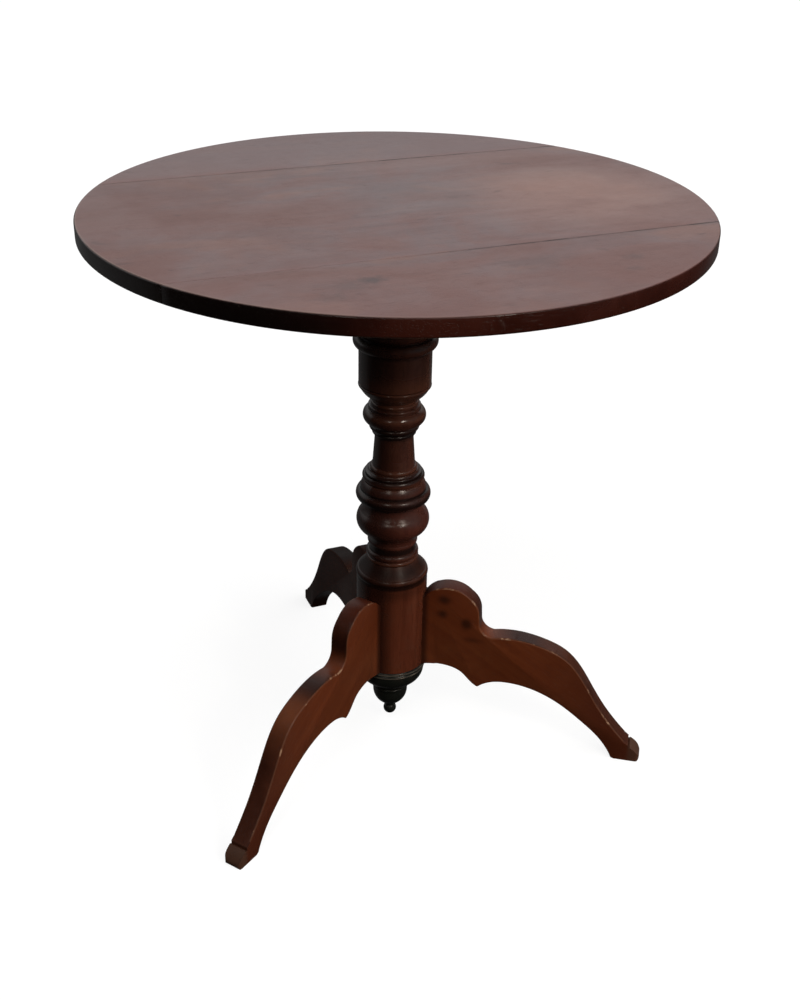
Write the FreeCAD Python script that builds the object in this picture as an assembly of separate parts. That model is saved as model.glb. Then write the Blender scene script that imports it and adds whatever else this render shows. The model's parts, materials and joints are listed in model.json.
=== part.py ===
import FreeCAD, Part
import math
import os

from FreeCAD import Vector

# Wine table: a round three-board top that tilts on a turned column with three sawn legs.
# Frame: origin on the floor under the column, +Z up, +X along the grain of the top,
# +Y towards the rear leg. All lengths are in millimetres, all angles in degrees.

# Whole table
TABLE_HEIGHT = 712.0
TOP_DIAMETER = 700.0

# Clearances
GLUE_GAP = 0.1
PIN_CLEARANCE = 0.05
TILT_CLEARANCE = 0.4
SIDE_CLEARANCE = 0.5
SLIDE_CLEARANCE = 0.3
CUT_OVERRUN = 5.0

# Top boards, tongued and grooved along X
TOP_THICKNESS = 20.0
TOP_ARRIS = 1.5
REAR_BOARD_WIDTH = 164.0
FRONT_BOARD_WIDTH = 179.0
BOARD_GAP = 0.2
TONGUE_THICKNESS = 6.0
TONGUE_LENGTH = 8.0
TONGUE_STOP = 15.0

# Bearers across the grain
BEARER_LENGTH = 560.0
BEARER_WIDTH = 42.0
BEARER_THICKNESS = 26.0
BEARER_TIP_THICKNESS = 9.0
BEARER_SWEEP_LENGTH = 58.0
BEARER_SWEEP_HOLLOW = 6.0

# Tilt block and the pins that it turns on
BLOCK_WIDTH = 104.0
BLOCK_DEPTH = 144.0
BLOCK_HEIGHT = 45.0
BLOCK_CHAMFER = 12.0
PIN_RADIUS = 5.0
PIN_DEPTH_IN_BLOCK = 30.0
PIN_HEAD_RADIUS = 8.5
PIN_HEAD_THICKNESS = 3.0
PIN_SLOT_WIDTH = 1.6
PIN_SLOT_DEPTH = 1.4

# Wood screws of the bearers
BEARER_SCREW_RADIUS = 2.2
BEARER_SCREW_HEAD_RADIUS = 4.6
BEARER_SCREW_BITE = 12.0
BEARER_SCREW_OUTER_SPACING = 460.0
BEARER_SCREW_INNER_SPACING = 220.0

# Column tenon and its wedge
TENON_RADIUS = 19.0
WEDGE_LENGTH = 28.0
WEDGE_HEAD_THICKNESS = 4.0
WEDGE_TIP_THICKNESS = 1.2

# Fine grooves that part the turned members
QUIRK_DEPTH = 1.2
QUIRK_WIDTH = 1.2

# Turned members of the column, from the drum upwards
DRUM_BOTTOM = 109.0
DRUM_RADIUS = 45.0
DRUM_HEIGHT = 130.0
CAP_BAND_HEIGHT = 8.0
CAP_BAND_CREST = 45.8
CAP_BAND_TOP_RADIUS = 44.0
CAP_FOOT_RADIUS = 42.4
CAP_SHOULDER_HEIGHT = 14.5
CAP_SHOULDER_HOLLOW = 0.5
CAP_TOP_RADIUS = 31.6
CAP_BEAD_RADIUS = 30.8
CAP_BEAD_HEIGHT = 6.0
CAP_BEAD_CREST = 33.0
COLLAR_HEIGHT = 8.5
COLLAR_CREST = 32.9
COLLAR_TOP_RADIUS = 30.2
NECK_RADIUS = 29.4
NECK_HEIGHT = 8.5
VASE_BEAD_FOOT_RADIUS = 30.2
VASE_BEAD_HEIGHT = 5.5
VASE_BEAD_CREST = 31.3
VASE_BEAD_TOP_RADIUS = 30.8
VASE_FOOT_RADIUS = 38.6
VASE_FOOT_HEIGHT = 13.5
VASE_FOOT_HOLLOW = 1.7
BELLY_FOOT_RADIUS = 39.4
BELLY_HEIGHT = 26.5
BELLY_CREST = 45.5
BELLY_TOP_RADIUS = 40.6
VASE_NECK_RADIUS = 35.4
VASE_NECK_HEIGHT = 18.5
VASE_NECK_HOLLOW = 1.5
TORUS_FOOT_RADIUS = 44.8
TORUS_HEIGHT = 12.5
TORUS_CREST = 46.2
TORUS_TOP_RADIUS = 41.4
OVOLO_FOOT_RADIUS = 40.8
OVOLO_HEIGHT = 10.3
OVOLO_BULGE = 0.8
OVOLO_TOP_RADIUS = 36.6
RING_BAND_RADIUS = 36.3
RING_BAND_HEIGHT = 8.3
RING_BAND_CREST = 38.4
STEP_BEAD_RADIUS = 34.5
STEP_BEAD_HEIGHT = 3.0
STEP_BEAD_CREST = 35.2
STEP_FOOT_RADIUS = 32.0
STEP_HEIGHT = 2.5
STEP_HOLLOW = 0.3
STEP_TOP_RADIUS = 30.2
SHAFT_BEAD_FOOT_RADIUS = 28.2
SHAFT_BEAD_HEIGHT = 5.5
SHAFT_BEAD_CREST = 28.9
SHAFT_BEAD_TOP_RADIUS = 26.8
SHAFT_FOOT_RADIUS = 26.2
SHAFT_TOP_RADIUS = 23.3

# Turned members of the column, from the shaft's top upwards
UNDER_FILLET_FOOT_RADIUS = 24.6
UNDER_FILLET_HEIGHT = 5.0
UNDER_FILLET_CREST = 26.8
UNDER_FILLET_TOP_RADIUS = 25.4
UNDER_BEAD_FOOT_RADIUS = 26.8
UNDER_BEAD_HEIGHT = 7.1
UNDER_BEAD_CREST = 30.4
UNDER_BEAD_TOP_RADIUS = 29.0
RING_FOOT_RADIUS = 31.4
RING_HEIGHT = 19.5
RING_CREST = 38.1
RING_TOP_RADIUS = 32.2
ASTRAGAL_HEIGHT = 3.8
LOWER_ASTRAGAL_FOOT_RADIUS = 31.2
LOWER_ASTRAGAL_CREST = 31.9
LOWER_ASTRAGAL_TOP_RADIUS = 29.8
UPPER_ASTRAGAL_FOOT_RADIUS = 28.4
UPPER_ASTRAGAL_CREST = 29.0
UPPER_ASTRAGAL_TOP_RADIUS = 27.4
UPPER_NECK_RADIUS = 26.8
UPPER_NECK_HEIGHT = 2.5
CAPITAL_BOWL_HEIGHT = 15.5
CAPITAL_BOWL_BULGE = 2.0
CAPITAL_EDGE_RADIUS = 42.4
CAPITAL_EDGE_HEIGHT = 4.0
CAPITAL_EDGE_CREST = 43.8
CAPITAL_RADIUS = 43.4
CAPITAL_HEIGHT = 44.3
FLARE_FOOT_RADIUS = 43.8
FLARE_HEIGHT = 15.0
FLARE_CREST = 50.2
FLARE_TOP_RADIUS = 46.5
TOP_GROOVE_RADIUS = 42.0
TOP_GROOVE_HEIGHT = 2.5
CUSHION_FOOT_RADIUS = 44.0
CUSHION_HEIGHT = 33.5
CUSHION_CREST = 48.5
CUSHION_TOP_RADIUS = 37.0
TOP_NECK_HEIGHT = 21.0
TOP_NECK_RADIUS = 34.0
TOP_NECK_HOLLOW = 2.5
ABACUS_FOOT_RADIUS = 38.0
ABACUS_SWEEP_HEIGHT = 14.0
ABACUS_BULGE = 2.0
ABACUS_RADIUS = 50.0
ABACUS_HEIGHT = 14.6

# Turned pendant below the drum, from its tip upwards
TIP_RADIUS = 8.5
TIP_NECK_RADIUS = 6.5
TIP_NECK_HEIGHT = 6.0
BOWL_FOOT_RADIUS = 9.0
BOWL_RADIUS = 22.5
BOWL_HEIGHT = 25.5
BOWL_BULGE = 4.6
BOWL_BAND_HEIGHT = 3.0
BOWL_RING_CREST = 24.6
BOWL_RING_HEIGHT = 4.0
DROP_WAIST_RADIUS = 34.0
DROP_HOLLOW_HEIGHT = 11.0
DROP_HOLLOW = 1.2
DROP_RADIUS = 43.5
DROP_BULGE_HEIGHT = 20.0
DROP_BULGE = 3.4
DISC_BEAD_HEIGHT = 5.5
LOWER_BEAD_CREST = 45.2
UPPER_BEAD_CREST = 46.2
DOWEL_RADIUS = 10.0
DOWEL_LENGTH = 30.0

# Legs
LEG_REACH = 336.0
LEG_HEIGHT = 229.3
LEG_THICKNESS = 24.0
TOE_STEP = 4.5
TOE_CORNER = 5.5
REAR_LEG_AZIMUTH = 89.5
LEFT_LEG_AZIMUTH = 214.7
RIGHT_LEG_AZIMUTH = 325.8

# Sliding dovetails that hold the legs
DOVETAIL_DEPTH = 16.0
DOVETAIL_MOUTH = 12.0
DOVETAIL_ROOT = 17.0
DOVETAIL_HEIGHT = 94.0

# Leg outline: shares of the reach beyond the drum and of the leg's height
EAR_INNER_SHARE = (0.000, 0.928)
EAR_PEAK_SHARE = (0.093, 1.000)
EAR_OUTER_SHARE = (0.202, 0.951)
EAR_CORNER_SHARE = (0.234, 0.905)
EAR_SIDE_SHARE = (0.247, 0.838)
NOTCH_START_SHARE = (0.249, 0.795)
NOTCH_MIDDLE_SHARE = (0.266, 0.737)
NOTCH_END_SHARE = (0.308, 0.711)
KNEE_SHARES = (
    (0.408, 0.721),
    (0.536, 0.690),
    (0.632, 0.633),
    (0.698, 0.545),
    (0.757, 0.423),
    (0.830, 0.276),
    (0.893, 0.176),
    (0.945, 0.104),
)
PAD_START_SHARE = (0.955, 0.0905)
PAD_MIDDLE_SHARE = (0.980, 0.066)
TOE_NOSE_SHARE = (1.000, 0.030)
TOE_UNDER_SHARE = (0.9975, 0.010)
TOE_END_SHARE = (0.992, 0.000)
SOLE_END_SHARE = (0.886, 0.000)
HEEL_ROUND_SHARE = (0.8745, 0.004)
HEEL_SHARE = (0.870, 0.016)
ARCH_SHARES = (
    (0.853, 0.056),
    (0.810, 0.130),
    (0.730, 0.223),
    (0.619, 0.328),
    (0.502, 0.397),
    (0.398, 0.421),
    (0.318, 0.412),
)
CUSP_SHARE = (0.253, 0.365)
APRON_SHARES = (
    (0.214, 0.403),
    (0.176, 0.453),
    (0.107, 0.486),
)
LEG_FOOT_SHARE = (0.000, 0.478)

# Sliding catch under the top
CATCH_SETBACK = 4.0
CATCH_LENGTH = 68.0
CATCH_WIDTH = 40.0
CATCH_PLATE_THICKNESS = 2.0
CATCH_CORNER = 5.0
BRIDGE_LENGTH = 8.0
BRIDGE_WALL = 3.5
BRIDGE_FLOOR = 2.5
BRIDGE_INSET = 4.0
BRIDGE_SPACING = 42.0
BOLT_WIDTH = 14.0
BOLT_THICKNESS = 5.0
BOLT_LENGTH = 62.0
BOLT_SETBACK = 6.0
BOLT_THROW = 14.0
BOLT_NOSE_ROUND = 2.0
KNOB_SETBACK = 38.0
KNOB_NECK_RADIUS = 3.0
KNOB_NECK_LENGTH = 5.0
KNOB_RADIUS = 6.0
KNOB_SPIGOT_RADIUS = 2.0
KNOB_SPIGOT_LENGTH = 4.0
KEEPER_WIDTH = 42.0
KEEPER_HEIGHT = 14.0
KEEPER_THICKNESS = 2.0
KEEPER_DROP = 2.0
MORTISE_EXTRA = 3.0
SMALL_SCREW_RADIUS = 1.4
SMALL_SCREW_HEAD_RADIUS = 2.9
SMALL_SCREW_LENGTH = 12.0
SMALL_SCREW_EDGE = 4.6
SCREW_SLOT_WIDTH_SHARE = 0.22
SCREW_SLOT_DEPTH_SHARE = 0.30
SCREW_POINT_SHARE = 0.45

# Levels and places that follow from the sizes above
TOP_RADIUS = TOP_DIAMETER / 2
UNDERSIDE = TABLE_HEIGHT - TOP_THICKNESS
BLOCK_TOP = UNDERSIDE - TILT_CLEARANCE
BLOCK_BOTTOM = BLOCK_TOP - BLOCK_HEIGHT
PIVOT_DROP = BEARER_THICKNESS / 2
PIVOT_Z = UNDERSIDE - PIVOT_DROP
PIVOT_Y = BLOCK_DEPTH / 2 - (PIVOT_DROP - TILT_CLEARANCE)
BLOCK_FRONT = -BLOCK_DEPTH / 2
REAR_JOINT_Y = TOP_RADIUS - REAR_BOARD_WIDTH
FRONT_JOINT_Y = FRONT_BOARD_WIDTH - TOP_RADIUS
BEARER_INNER_X = BLOCK_WIDTH / 2 + SIDE_CLEARANCE
BEARER_CENTRE_X = BEARER_INNER_X + BEARER_WIDTH / 2
BEARER_OUTER_X = BEARER_INNER_X + BEARER_WIDTH
CATCH_FRONT = BLOCK_FRONT - CATCH_SETBACK
CATCH_FACE = UNDERSIDE - CATCH_PLATE_THICKNESS
BOLT_TOP = CATCH_FACE - SLIDE_CLEARANCE
BOLT_BOTTOM = BOLT_TOP - BOLT_THICKNESS
BOLT_NOSE = BLOCK_FRONT - BOLT_SETBACK
KNOB_Y = BOLT_NOSE - KNOB_SETBACK

BEARER_SCREW_LENGTH = BEARER_THICKNESS + BEARER_SCREW_BITE
LEG_AZIMUTHS = {
    "leg_rear": REAR_LEG_AZIMUTH,
    "leg_left": LEFT_LEG_AZIMUTH,
    "leg_right": RIGHT_LEG_AZIMUTH,
}

ORIGIN = Vector(0, 0, 0)
X_AXIS = Vector(1, 0, 0)
Y_AXIS = Vector(0, 1, 0)
Z_AXIS = Vector(0, 0, 1)


def line(start, end):
    return Part.LineSegment(start, end).toShape()


def arc(start, middle, end):
    return Part.Arc(start, middle, end).toShape()


def spline(points):
    curve = Part.BSplineCurve()
    curve.interpolate(points)
    return curve.toShape()


def box(low, high):
    size = high - low
    return Part.makeBox(size.x, size.y, size.z, low)


def solid_between(edges, sweep):
    """Solid from a closed run of edges pushed along a vector."""
    return Part.Face(Part.Wire(Part.__sortEdges__(edges))).extrude(sweep)


def prism(corners, sweep):
    """Solid from a polygon pushed along a vector."""
    return Part.Face(Part.makePolygon(corners + corners[:1])).extrude(sweep)


def upright_edges(shape):
    """Straight edges that run along Z."""
    return [edge for edge in shape.Edges if edge.tangentAt(edge.FirstParameter).cross(Z_AXIS).Length < 1e-6]


class Turning:
    """Outline of a turned piece, drawn upwards from the axis and spun into a solid."""

    def __init__(self, z=0.0):
        self.start = Vector(0, 0, z)
        self.at = self.start
        self.edges = []

    def line(self, radius, rise=0.0):
        end = Vector(radius, 0, self.at.z + rise)
        if end.distanceToPoint(self.at) > 0:
            self.edges.append(line(self.at, end))
        self.at = end

    def sweep(self, radius, rise, bulge):
        """Arc to a new radius: its middle stands off the straight line by the bulge."""
        end = Vector(radius, 0, self.at.z + rise)
        chord = end - self.at
        outward = Vector(chord.z, 0, -chord.x).normalize()
        self.edges.append(arc(self.at, (self.at + end) / 2 + outward * bulge, end))
        self.at = end

    def round(self, radius, rise, crest):
        """Arc to a new radius that reaches the crest at half its height."""
        end = Vector(radius, 0, self.at.z + rise)
        self.edges.append(arc(self.at, Vector(crest, 0, self.at.z + rise / 2), end))
        self.at = end

    def quirk(self):
        """Fine groove that parts two members."""
        self.line(self.at.x - QUIRK_DEPTH)
        self.line(self.at.x, QUIRK_WIDTH)

    def solid(self):
        self.line(0)
        outline = self.edges + [line(self.at, self.start)]
        return Part.Face(Part.Wire(outline)).revolve(ORIGIN, Z_AXIS)


def screw(head, direction, radius, head_radius, length):
    """Slotted countersunk screw from the middle of its head's face along a direction."""
    head_height = head_radius - radius
    slot_width = head_radius * SCREW_SLOT_WIDTH_SHARE
    slot_depth = head_radius * SCREW_SLOT_DEPTH_SHARE
    point = length * SCREW_POINT_SHARE
    turning = Turning()
    turning.line(head_radius)
    turning.line(radius, head_height)
    turning.line(radius, length - head_height - point)
    turning.line(0, point)
    slot = box(
        Vector(-head_radius, -slot_width / 2, -CUT_OVERRUN),
        Vector(head_radius, slot_width / 2, slot_depth),
    )
    body = turning.solid().cut(slot)
    body.Placement = FreeCAD.Placement(head, FreeCAD.Rotation(Z_AXIS, direction))
    return body


def screw_hole(head, direction, radius, head_radius, length):
    """Room for a screw: its own outline, wider by the glue gap all round."""
    turning = Turning()
    turning.line(head_radius + GLUE_GAP)
    turning.line(radius + GLUE_GAP, head_radius - radius)
    turning.line(radius + GLUE_GAP, length - head_radius + radius + GLUE_GAP)
    hole = turning.solid()
    hole.Placement = FreeCAD.Placement(head, FreeCAD.Rotation(Z_AXIS, direction))
    return hole


# Column and pendant

def turn_drum(turning):
    """Drum with its cap and the collar above: the column up to the vase."""
    turning.line(DRUM_RADIUS)
    turning.line(DRUM_RADIUS, DRUM_HEIGHT)
    turning.round(CAP_BAND_TOP_RADIUS, CAP_BAND_HEIGHT, CAP_BAND_CREST)
    turning.line(CAP_FOOT_RADIUS)
    turning.sweep(CAP_TOP_RADIUS, CAP_SHOULDER_HEIGHT, -CAP_SHOULDER_HOLLOW)
    turning.line(CAP_BEAD_RADIUS)
    turning.round(CAP_BEAD_RADIUS, CAP_BEAD_HEIGHT, CAP_BEAD_CREST)
    turning.round(COLLAR_TOP_RADIUS, COLLAR_HEIGHT, COLLAR_CREST)
    turning.line(NECK_RADIUS)
    turning.line(NECK_RADIUS, NECK_HEIGHT)


def turn_vase(turning):
    """Vase between its foot bead and the neck below the torus."""
    turning.line(VASE_BEAD_FOOT_RADIUS)
    turning.round(VASE_BEAD_TOP_RADIUS, VASE_BEAD_HEIGHT, VASE_BEAD_CREST)
    turning.sweep(VASE_FOOT_RADIUS, VASE_FOOT_HEIGHT, -VASE_FOOT_HOLLOW)
    turning.line(BELLY_FOOT_RADIUS)
    turning.round(BELLY_TOP_RADIUS, BELLY_HEIGHT, BELLY_CREST)
    turning.sweep(VASE_NECK_RADIUS, VASE_NECK_HEIGHT, -VASE_NECK_HOLLOW)


def turn_bands(turning):
    """Torus, ovolo, ring band and the steps up to the shaft's foot."""
    turning.line(TORUS_FOOT_RADIUS)
    turning.round(TORUS_TOP_RADIUS, TORUS_HEIGHT, TORUS_CREST)
    turning.quirk()
    turning.line(OVOLO_FOOT_RADIUS)
    turning.sweep(OVOLO_TOP_RADIUS, OVOLO_HEIGHT, OVOLO_BULGE)
    turning.quirk()
    turning.line(RING_BAND_RADIUS)
    turning.round(RING_BAND_RADIUS, RING_BAND_HEIGHT, RING_BAND_CREST)
    turning.line(STEP_BEAD_RADIUS)
    turning.round(STEP_BEAD_RADIUS, STEP_BEAD_HEIGHT, STEP_BEAD_CREST)
    turning.line(STEP_FOOT_RADIUS)
    turning.sweep(STEP_TOP_RADIUS, STEP_HEIGHT, -STEP_HOLLOW)
    turning.line(SHAFT_BEAD_FOOT_RADIUS)
    turning.round(SHAFT_BEAD_TOP_RADIUS, SHAFT_BEAD_HEIGHT, SHAFT_BEAD_CREST)
    turning.line(SHAFT_FOOT_RADIUS)


def turn_ring(turning):
    """Beads, ring and astragals between the shaft's top and the capital."""
    turning.line(UNDER_FILLET_FOOT_RADIUS)
    turning.round(UNDER_FILLET_TOP_RADIUS, UNDER_FILLET_HEIGHT, UNDER_FILLET_CREST)
    turning.quirk()
    turning.line(UNDER_BEAD_FOOT_RADIUS)
    turning.round(UNDER_BEAD_TOP_RADIUS, UNDER_BEAD_HEIGHT, UNDER_BEAD_CREST)
    turning.quirk()
    turning.line(RING_FOOT_RADIUS)
    turning.round(RING_TOP_RADIUS, RING_HEIGHT, RING_CREST)
    turning.quirk()
    turning.line(LOWER_ASTRAGAL_FOOT_RADIUS)
    turning.round(LOWER_ASTRAGAL_TOP_RADIUS, ASTRAGAL_HEIGHT, LOWER_ASTRAGAL_CREST)
    turning.quirk()
    turning.line(UPPER_ASTRAGAL_FOOT_RADIUS)
    turning.round(UPPER_ASTRAGAL_TOP_RADIUS, ASTRAGAL_HEIGHT, UPPER_ASTRAGAL_CREST)
    turning.line(UPPER_NECK_RADIUS)
    turning.line(UPPER_NECK_RADIUS, UPPER_NECK_HEIGHT)


def turn_capital(turning):
    """Capital with its bowl, the flare, cushion and abacus up to the block."""
    turning.sweep(CAPITAL_EDGE_RADIUS, CAPITAL_BOWL_HEIGHT, CAPITAL_BOWL_BULGE)
    turning.round(CAPITAL_EDGE_RADIUS, CAPITAL_EDGE_HEIGHT, CAPITAL_EDGE_CREST)
    turning.quirk()
    turning.line(CAPITAL_RADIUS)
    turning.line(CAPITAL_RADIUS, CAPITAL_HEIGHT)
    turning.line(FLARE_FOOT_RADIUS)
    turning.round(FLARE_TOP_RADIUS, FLARE_HEIGHT, FLARE_CREST)
    turning.line(TOP_GROOVE_RADIUS)
    turning.line(TOP_GROOVE_RADIUS, TOP_GROOVE_HEIGHT)
    turning.line(CUSHION_FOOT_RADIUS)
    turning.round(CUSHION_TOP_RADIUS, CUSHION_HEIGHT, CUSHION_CREST)
    turning.line(TOP_NECK_RADIUS)
    turning.sweep(TOP_NECK_RADIUS, TOP_NECK_HEIGHT, -TOP_NECK_HOLLOW)
    turning.line(ABACUS_FOOT_RADIUS)
    turning.sweep(ABACUS_RADIUS, ABACUS_SWEEP_HEIGHT, ABACUS_BULGE)
    turning.line(ABACUS_RADIUS, ABACUS_HEIGHT)


def turn_head(turning):
    """The column from the shaft's top to the block."""
    turn_ring(turning)
    turn_capital(turning)


def turn_pendant(turning):
    """Ball tip, bowl, drop and the beaded disc that closes the drum."""
    tip_rise = math.sqrt(TIP_RADIUS ** 2 - TIP_NECK_RADIUS ** 2)
    tip_middle = turning.at.z + TIP_RADIUS
    tip_top = Vector(TIP_NECK_RADIUS, 0, tip_middle + tip_rise)
    turning.edges.append(arc(turning.at, Vector(TIP_RADIUS, 0, tip_middle), tip_top))
    turning.at = tip_top
    turning.line(TIP_NECK_RADIUS, TIP_NECK_HEIGHT)
    turning.line(BOWL_FOOT_RADIUS)
    turning.sweep(BOWL_RADIUS, BOWL_HEIGHT, BOWL_BULGE)
    turning.line(BOWL_RADIUS, BOWL_BAND_HEIGHT)
    turning.round(BOWL_RADIUS, BOWL_RING_HEIGHT, BOWL_RING_CREST)
    turning.sweep(DROP_WAIST_RADIUS, DROP_HOLLOW_HEIGHT, -DROP_HOLLOW)
    turning.sweep(DROP_RADIUS, DROP_BULGE_HEIGHT, DROP_BULGE)
    turning.round(DROP_RADIUS, DISC_BEAD_HEIGHT, LOWER_BEAD_CREST)
    turning.round(DROP_RADIUS, DISC_BEAD_HEIGHT, UPPER_BEAD_CREST)


def turned_height(members):
    trial = Turning()
    members(trial)
    return trial.at.z


def wedge(gap):
    """Tenon wedge, thickest at the top, along Y; the gap makes its kerf."""
    top = BLOCK_TOP
    tip = top - WEDGE_LENGTH
    half_head = WEDGE_HEAD_THICKNESS / 2 + gap
    half_tip = WEDGE_TIP_THICKNESS / 2 + gap
    corners = [
        Vector(-half_head, -TENON_RADIUS, top),
        Vector(half_head, -TENON_RADIUS, top),
        Vector(half_tip, -TENON_RADIUS, tip - gap),
        Vector(-half_tip, -TENON_RADIUS, tip - gap),
    ]
    return prism(corners, Y_AXIS * (TENON_RADIUS * 2))


def tenon_wedge():
    reach = Part.makeCylinder(TENON_RADIUS, WEDGE_LENGTH, Vector(0, 0, BLOCK_TOP - WEDGE_LENGTH))
    return wedge(0.0).common(reach)


def column():
    turning = Turning(DRUM_BOTTOM)
    turn_drum(turning)
    turn_vase(turning)
    turn_bands(turning)
    shaft_top = BLOCK_BOTTOM - turned_height(turn_head)
    turning.line(SHAFT_TOP_RADIUS, shaft_top - turning.at.z)
    turn_head(turning)
    turning.line(TENON_RADIUS)
    turning.line(TENON_RADIUS, BLOCK_HEIGHT)
    body = turning.solid()
    body = body.cut(wedge(GLUE_GAP))
    for azimuth in LEG_AZIMUTHS.values():
        body = body.cut(turned_to(dovetail_housing(), azimuth))
    dowel_hole = Part.makeCylinder(
        DOWEL_RADIUS + GLUE_GAP, DOWEL_LENGTH + GLUE_GAP, Vector(0, 0, DRUM_BOTTOM)
    )
    return body.cut(dowel_hole)


def pendant():
    turning = Turning(DRUM_BOTTOM - turned_height(turn_pendant))
    turn_pendant(turning)
    turning.line(DOWEL_RADIUS)
    turning.line(DOWEL_RADIUS, DOWEL_LENGTH)
    return turning.solid()


# Legs

def turned_to(shape, azimuth):
    turned = shape.copy()
    turned.rotate(ORIGIN, Z_AXIS, azimuth)
    return turned


def dovetail(bottom, gap):
    """Dovetail section along X, pushed up from a level; the gap widens it."""
    root = DRUM_RADIUS - DOVETAIL_DEPTH - gap
    mouth = DRUM_RADIUS + GLUE_GAP
    half_mouth = DOVETAIL_MOUTH / 2 + gap
    half_root = DOVETAIL_ROOT / 2 + gap
    top = DRUM_BOTTOM + DOVETAIL_HEIGHT + gap
    corners = [
        Vector(root, -half_root, bottom),
        Vector(mouth, -half_mouth, bottom),
        Vector(mouth, half_mouth, bottom),
        Vector(root, half_root, bottom),
    ]
    return prism(corners, Z_AXIS * (top - bottom))


def dovetail_housing():
    """Slot in the drum, open below, that a leg's tongue slides up into."""
    return dovetail(DRUM_BOTTOM - CUT_OVERRUN, GLUE_GAP)


def leg_point(share):
    """Point of the leg's outline, in the plane of the leg, from its shares."""
    return Vector(DRUM_RADIUS + (LEG_REACH - DRUM_RADIUS) * share[0], 0, LEG_HEIGHT * share[1])


def leg_outline():
    """Closed run of edges round the leg's side, from the ear out to the toe and back."""
    ear_inner = leg_point(EAR_INNER_SHARE)
    ear_outer = leg_point(EAR_OUTER_SHARE)
    ear_side = leg_point(EAR_SIDE_SHARE)
    notch_start = leg_point(NOTCH_START_SHARE)
    notch_end = leg_point(NOTCH_END_SHARE)
    knee = [notch_end] + [leg_point(share) for share in KNEE_SHARES]
    step_foot = knee[-1] - Z_AXIS * TOE_STEP
    pad_start = leg_point(PAD_START_SHARE)
    nose = leg_point(TOE_NOSE_SHARE)
    toe_end = leg_point(TOE_END_SHARE)
    sole_end = leg_point(SOLE_END_SHARE)
    heel = leg_point(HEEL_SHARE)
    cusp = leg_point(CUSP_SHARE)
    arch = [heel] + [leg_point(share) for share in ARCH_SHARES] + [cusp]
    foot = leg_point(LEG_FOOT_SHARE)
    apron = [cusp] + [leg_point(share) for share in APRON_SHARES] + [foot]
    inside = X_AXIS * (DOVETAIL_DEPTH / 2)
    return [
        arc(ear_inner, leg_point(EAR_PEAK_SHARE), ear_outer),
        arc(ear_outer, leg_point(EAR_CORNER_SHARE), ear_side),
        line(ear_side, notch_start),
        arc(notch_start, leg_point(NOTCH_MIDDLE_SHARE), notch_end),
        spline(knee),
        line(knee[-1], step_foot),
        line(step_foot, pad_start),
        arc(pad_start, leg_point(PAD_MIDDLE_SHARE), nose),
        arc(nose, leg_point(TOE_UNDER_SHARE), toe_end),
        line(toe_end, sole_end),
        arc(sole_end, leg_point(HEEL_ROUND_SHARE), heel),
        spline(arch),
        spline(apron),
        line(foot, foot - inside),
        line(foot - inside, ear_inner - inside),
        line(ear_inner - inside, ear_inner),
    ]


def toe_corners():
    """Room on both sides of the toe outside its rounded corners, seen from above."""
    start = Vector(LEG_REACH - TOE_CORNER, LEG_THICKNESS / 2 - TOE_CORNER, -CUT_OVERRUN)
    end = Vector(LEG_REACH + CUT_OVERRUN, LEG_THICKNESS / 2 + CUT_OVERRUN, LEG_HEIGHT)
    corner = box(start, end).cut(Part.makeCylinder(TOE_CORNER, LEG_HEIGHT + CUT_OVERRUN, start))
    return [corner, corner.mirror(ORIGIN, Y_AXIS)]


def leg():
    """Leg along X: a sawn plank with a rounded toe, scribed to the drum, and its tongue."""
    plank = solid_between(leg_outline(), Y_AXIS * LEG_THICKNESS)
    plank.translate(Y_AXIS * (-LEG_THICKNESS / 2))
    plank = plank.cut(toe_corners())
    drum = Part.makeCylinder(DRUM_RADIUS + GLUE_GAP, LEG_HEIGHT + CUT_OVERRUN)
    tongue_bottom = leg_point(LEG_FOOT_SHARE).z
    return plank.cut(drum).fuse(dovetail(tongue_bottom, 0.0)).removeSplitter()


# Top

def round_top():
    """The whole disc of the top, with eased edges, before it is parted into boards."""
    turning = Turning(UNDERSIDE)
    turning.line(TOP_RADIUS - TOP_ARRIS)
    turning.line(TOP_RADIUS, TOP_ARRIS)
    turning.line(TOP_RADIUS, TOP_THICKNESS - TOP_ARRIS * 2)
    turning.line(TOP_RADIUS - TOP_ARRIS, TOP_ARRIS)
    return turning.solid()


def top_strip(low_y, high_y):
    """Room across the whole top between two lines along X."""
    reach = TOP_RADIUS + CUT_OVERRUN
    return box(
        Vector(-reach, low_y, UNDERSIDE - CUT_OVERRUN),
        Vector(reach, high_y, TABLE_HEIGHT + CUT_OVERRUN),
    )


def tongue(edge_y, direction, gap):
    """Tongue from a board's edge, stopped short of the rim; the gap makes its groove."""
    middle = UNDERSIDE + TOP_THICKNESS / 2
    half = TONGUE_THICKNESS / 2 + gap
    reach = math.sqrt(TOP_RADIUS ** 2 - edge_y ** 2) - TONGUE_STOP + gap
    tip_y = edge_y + direction * (TONGUE_LENGTH + gap)
    back_y = edge_y - direction * CUT_OVERRUN
    return box(
        Vector(-reach, min(tip_y, back_y), middle - half),
        Vector(reach, max(tip_y, back_y), middle + half),
    )


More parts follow.
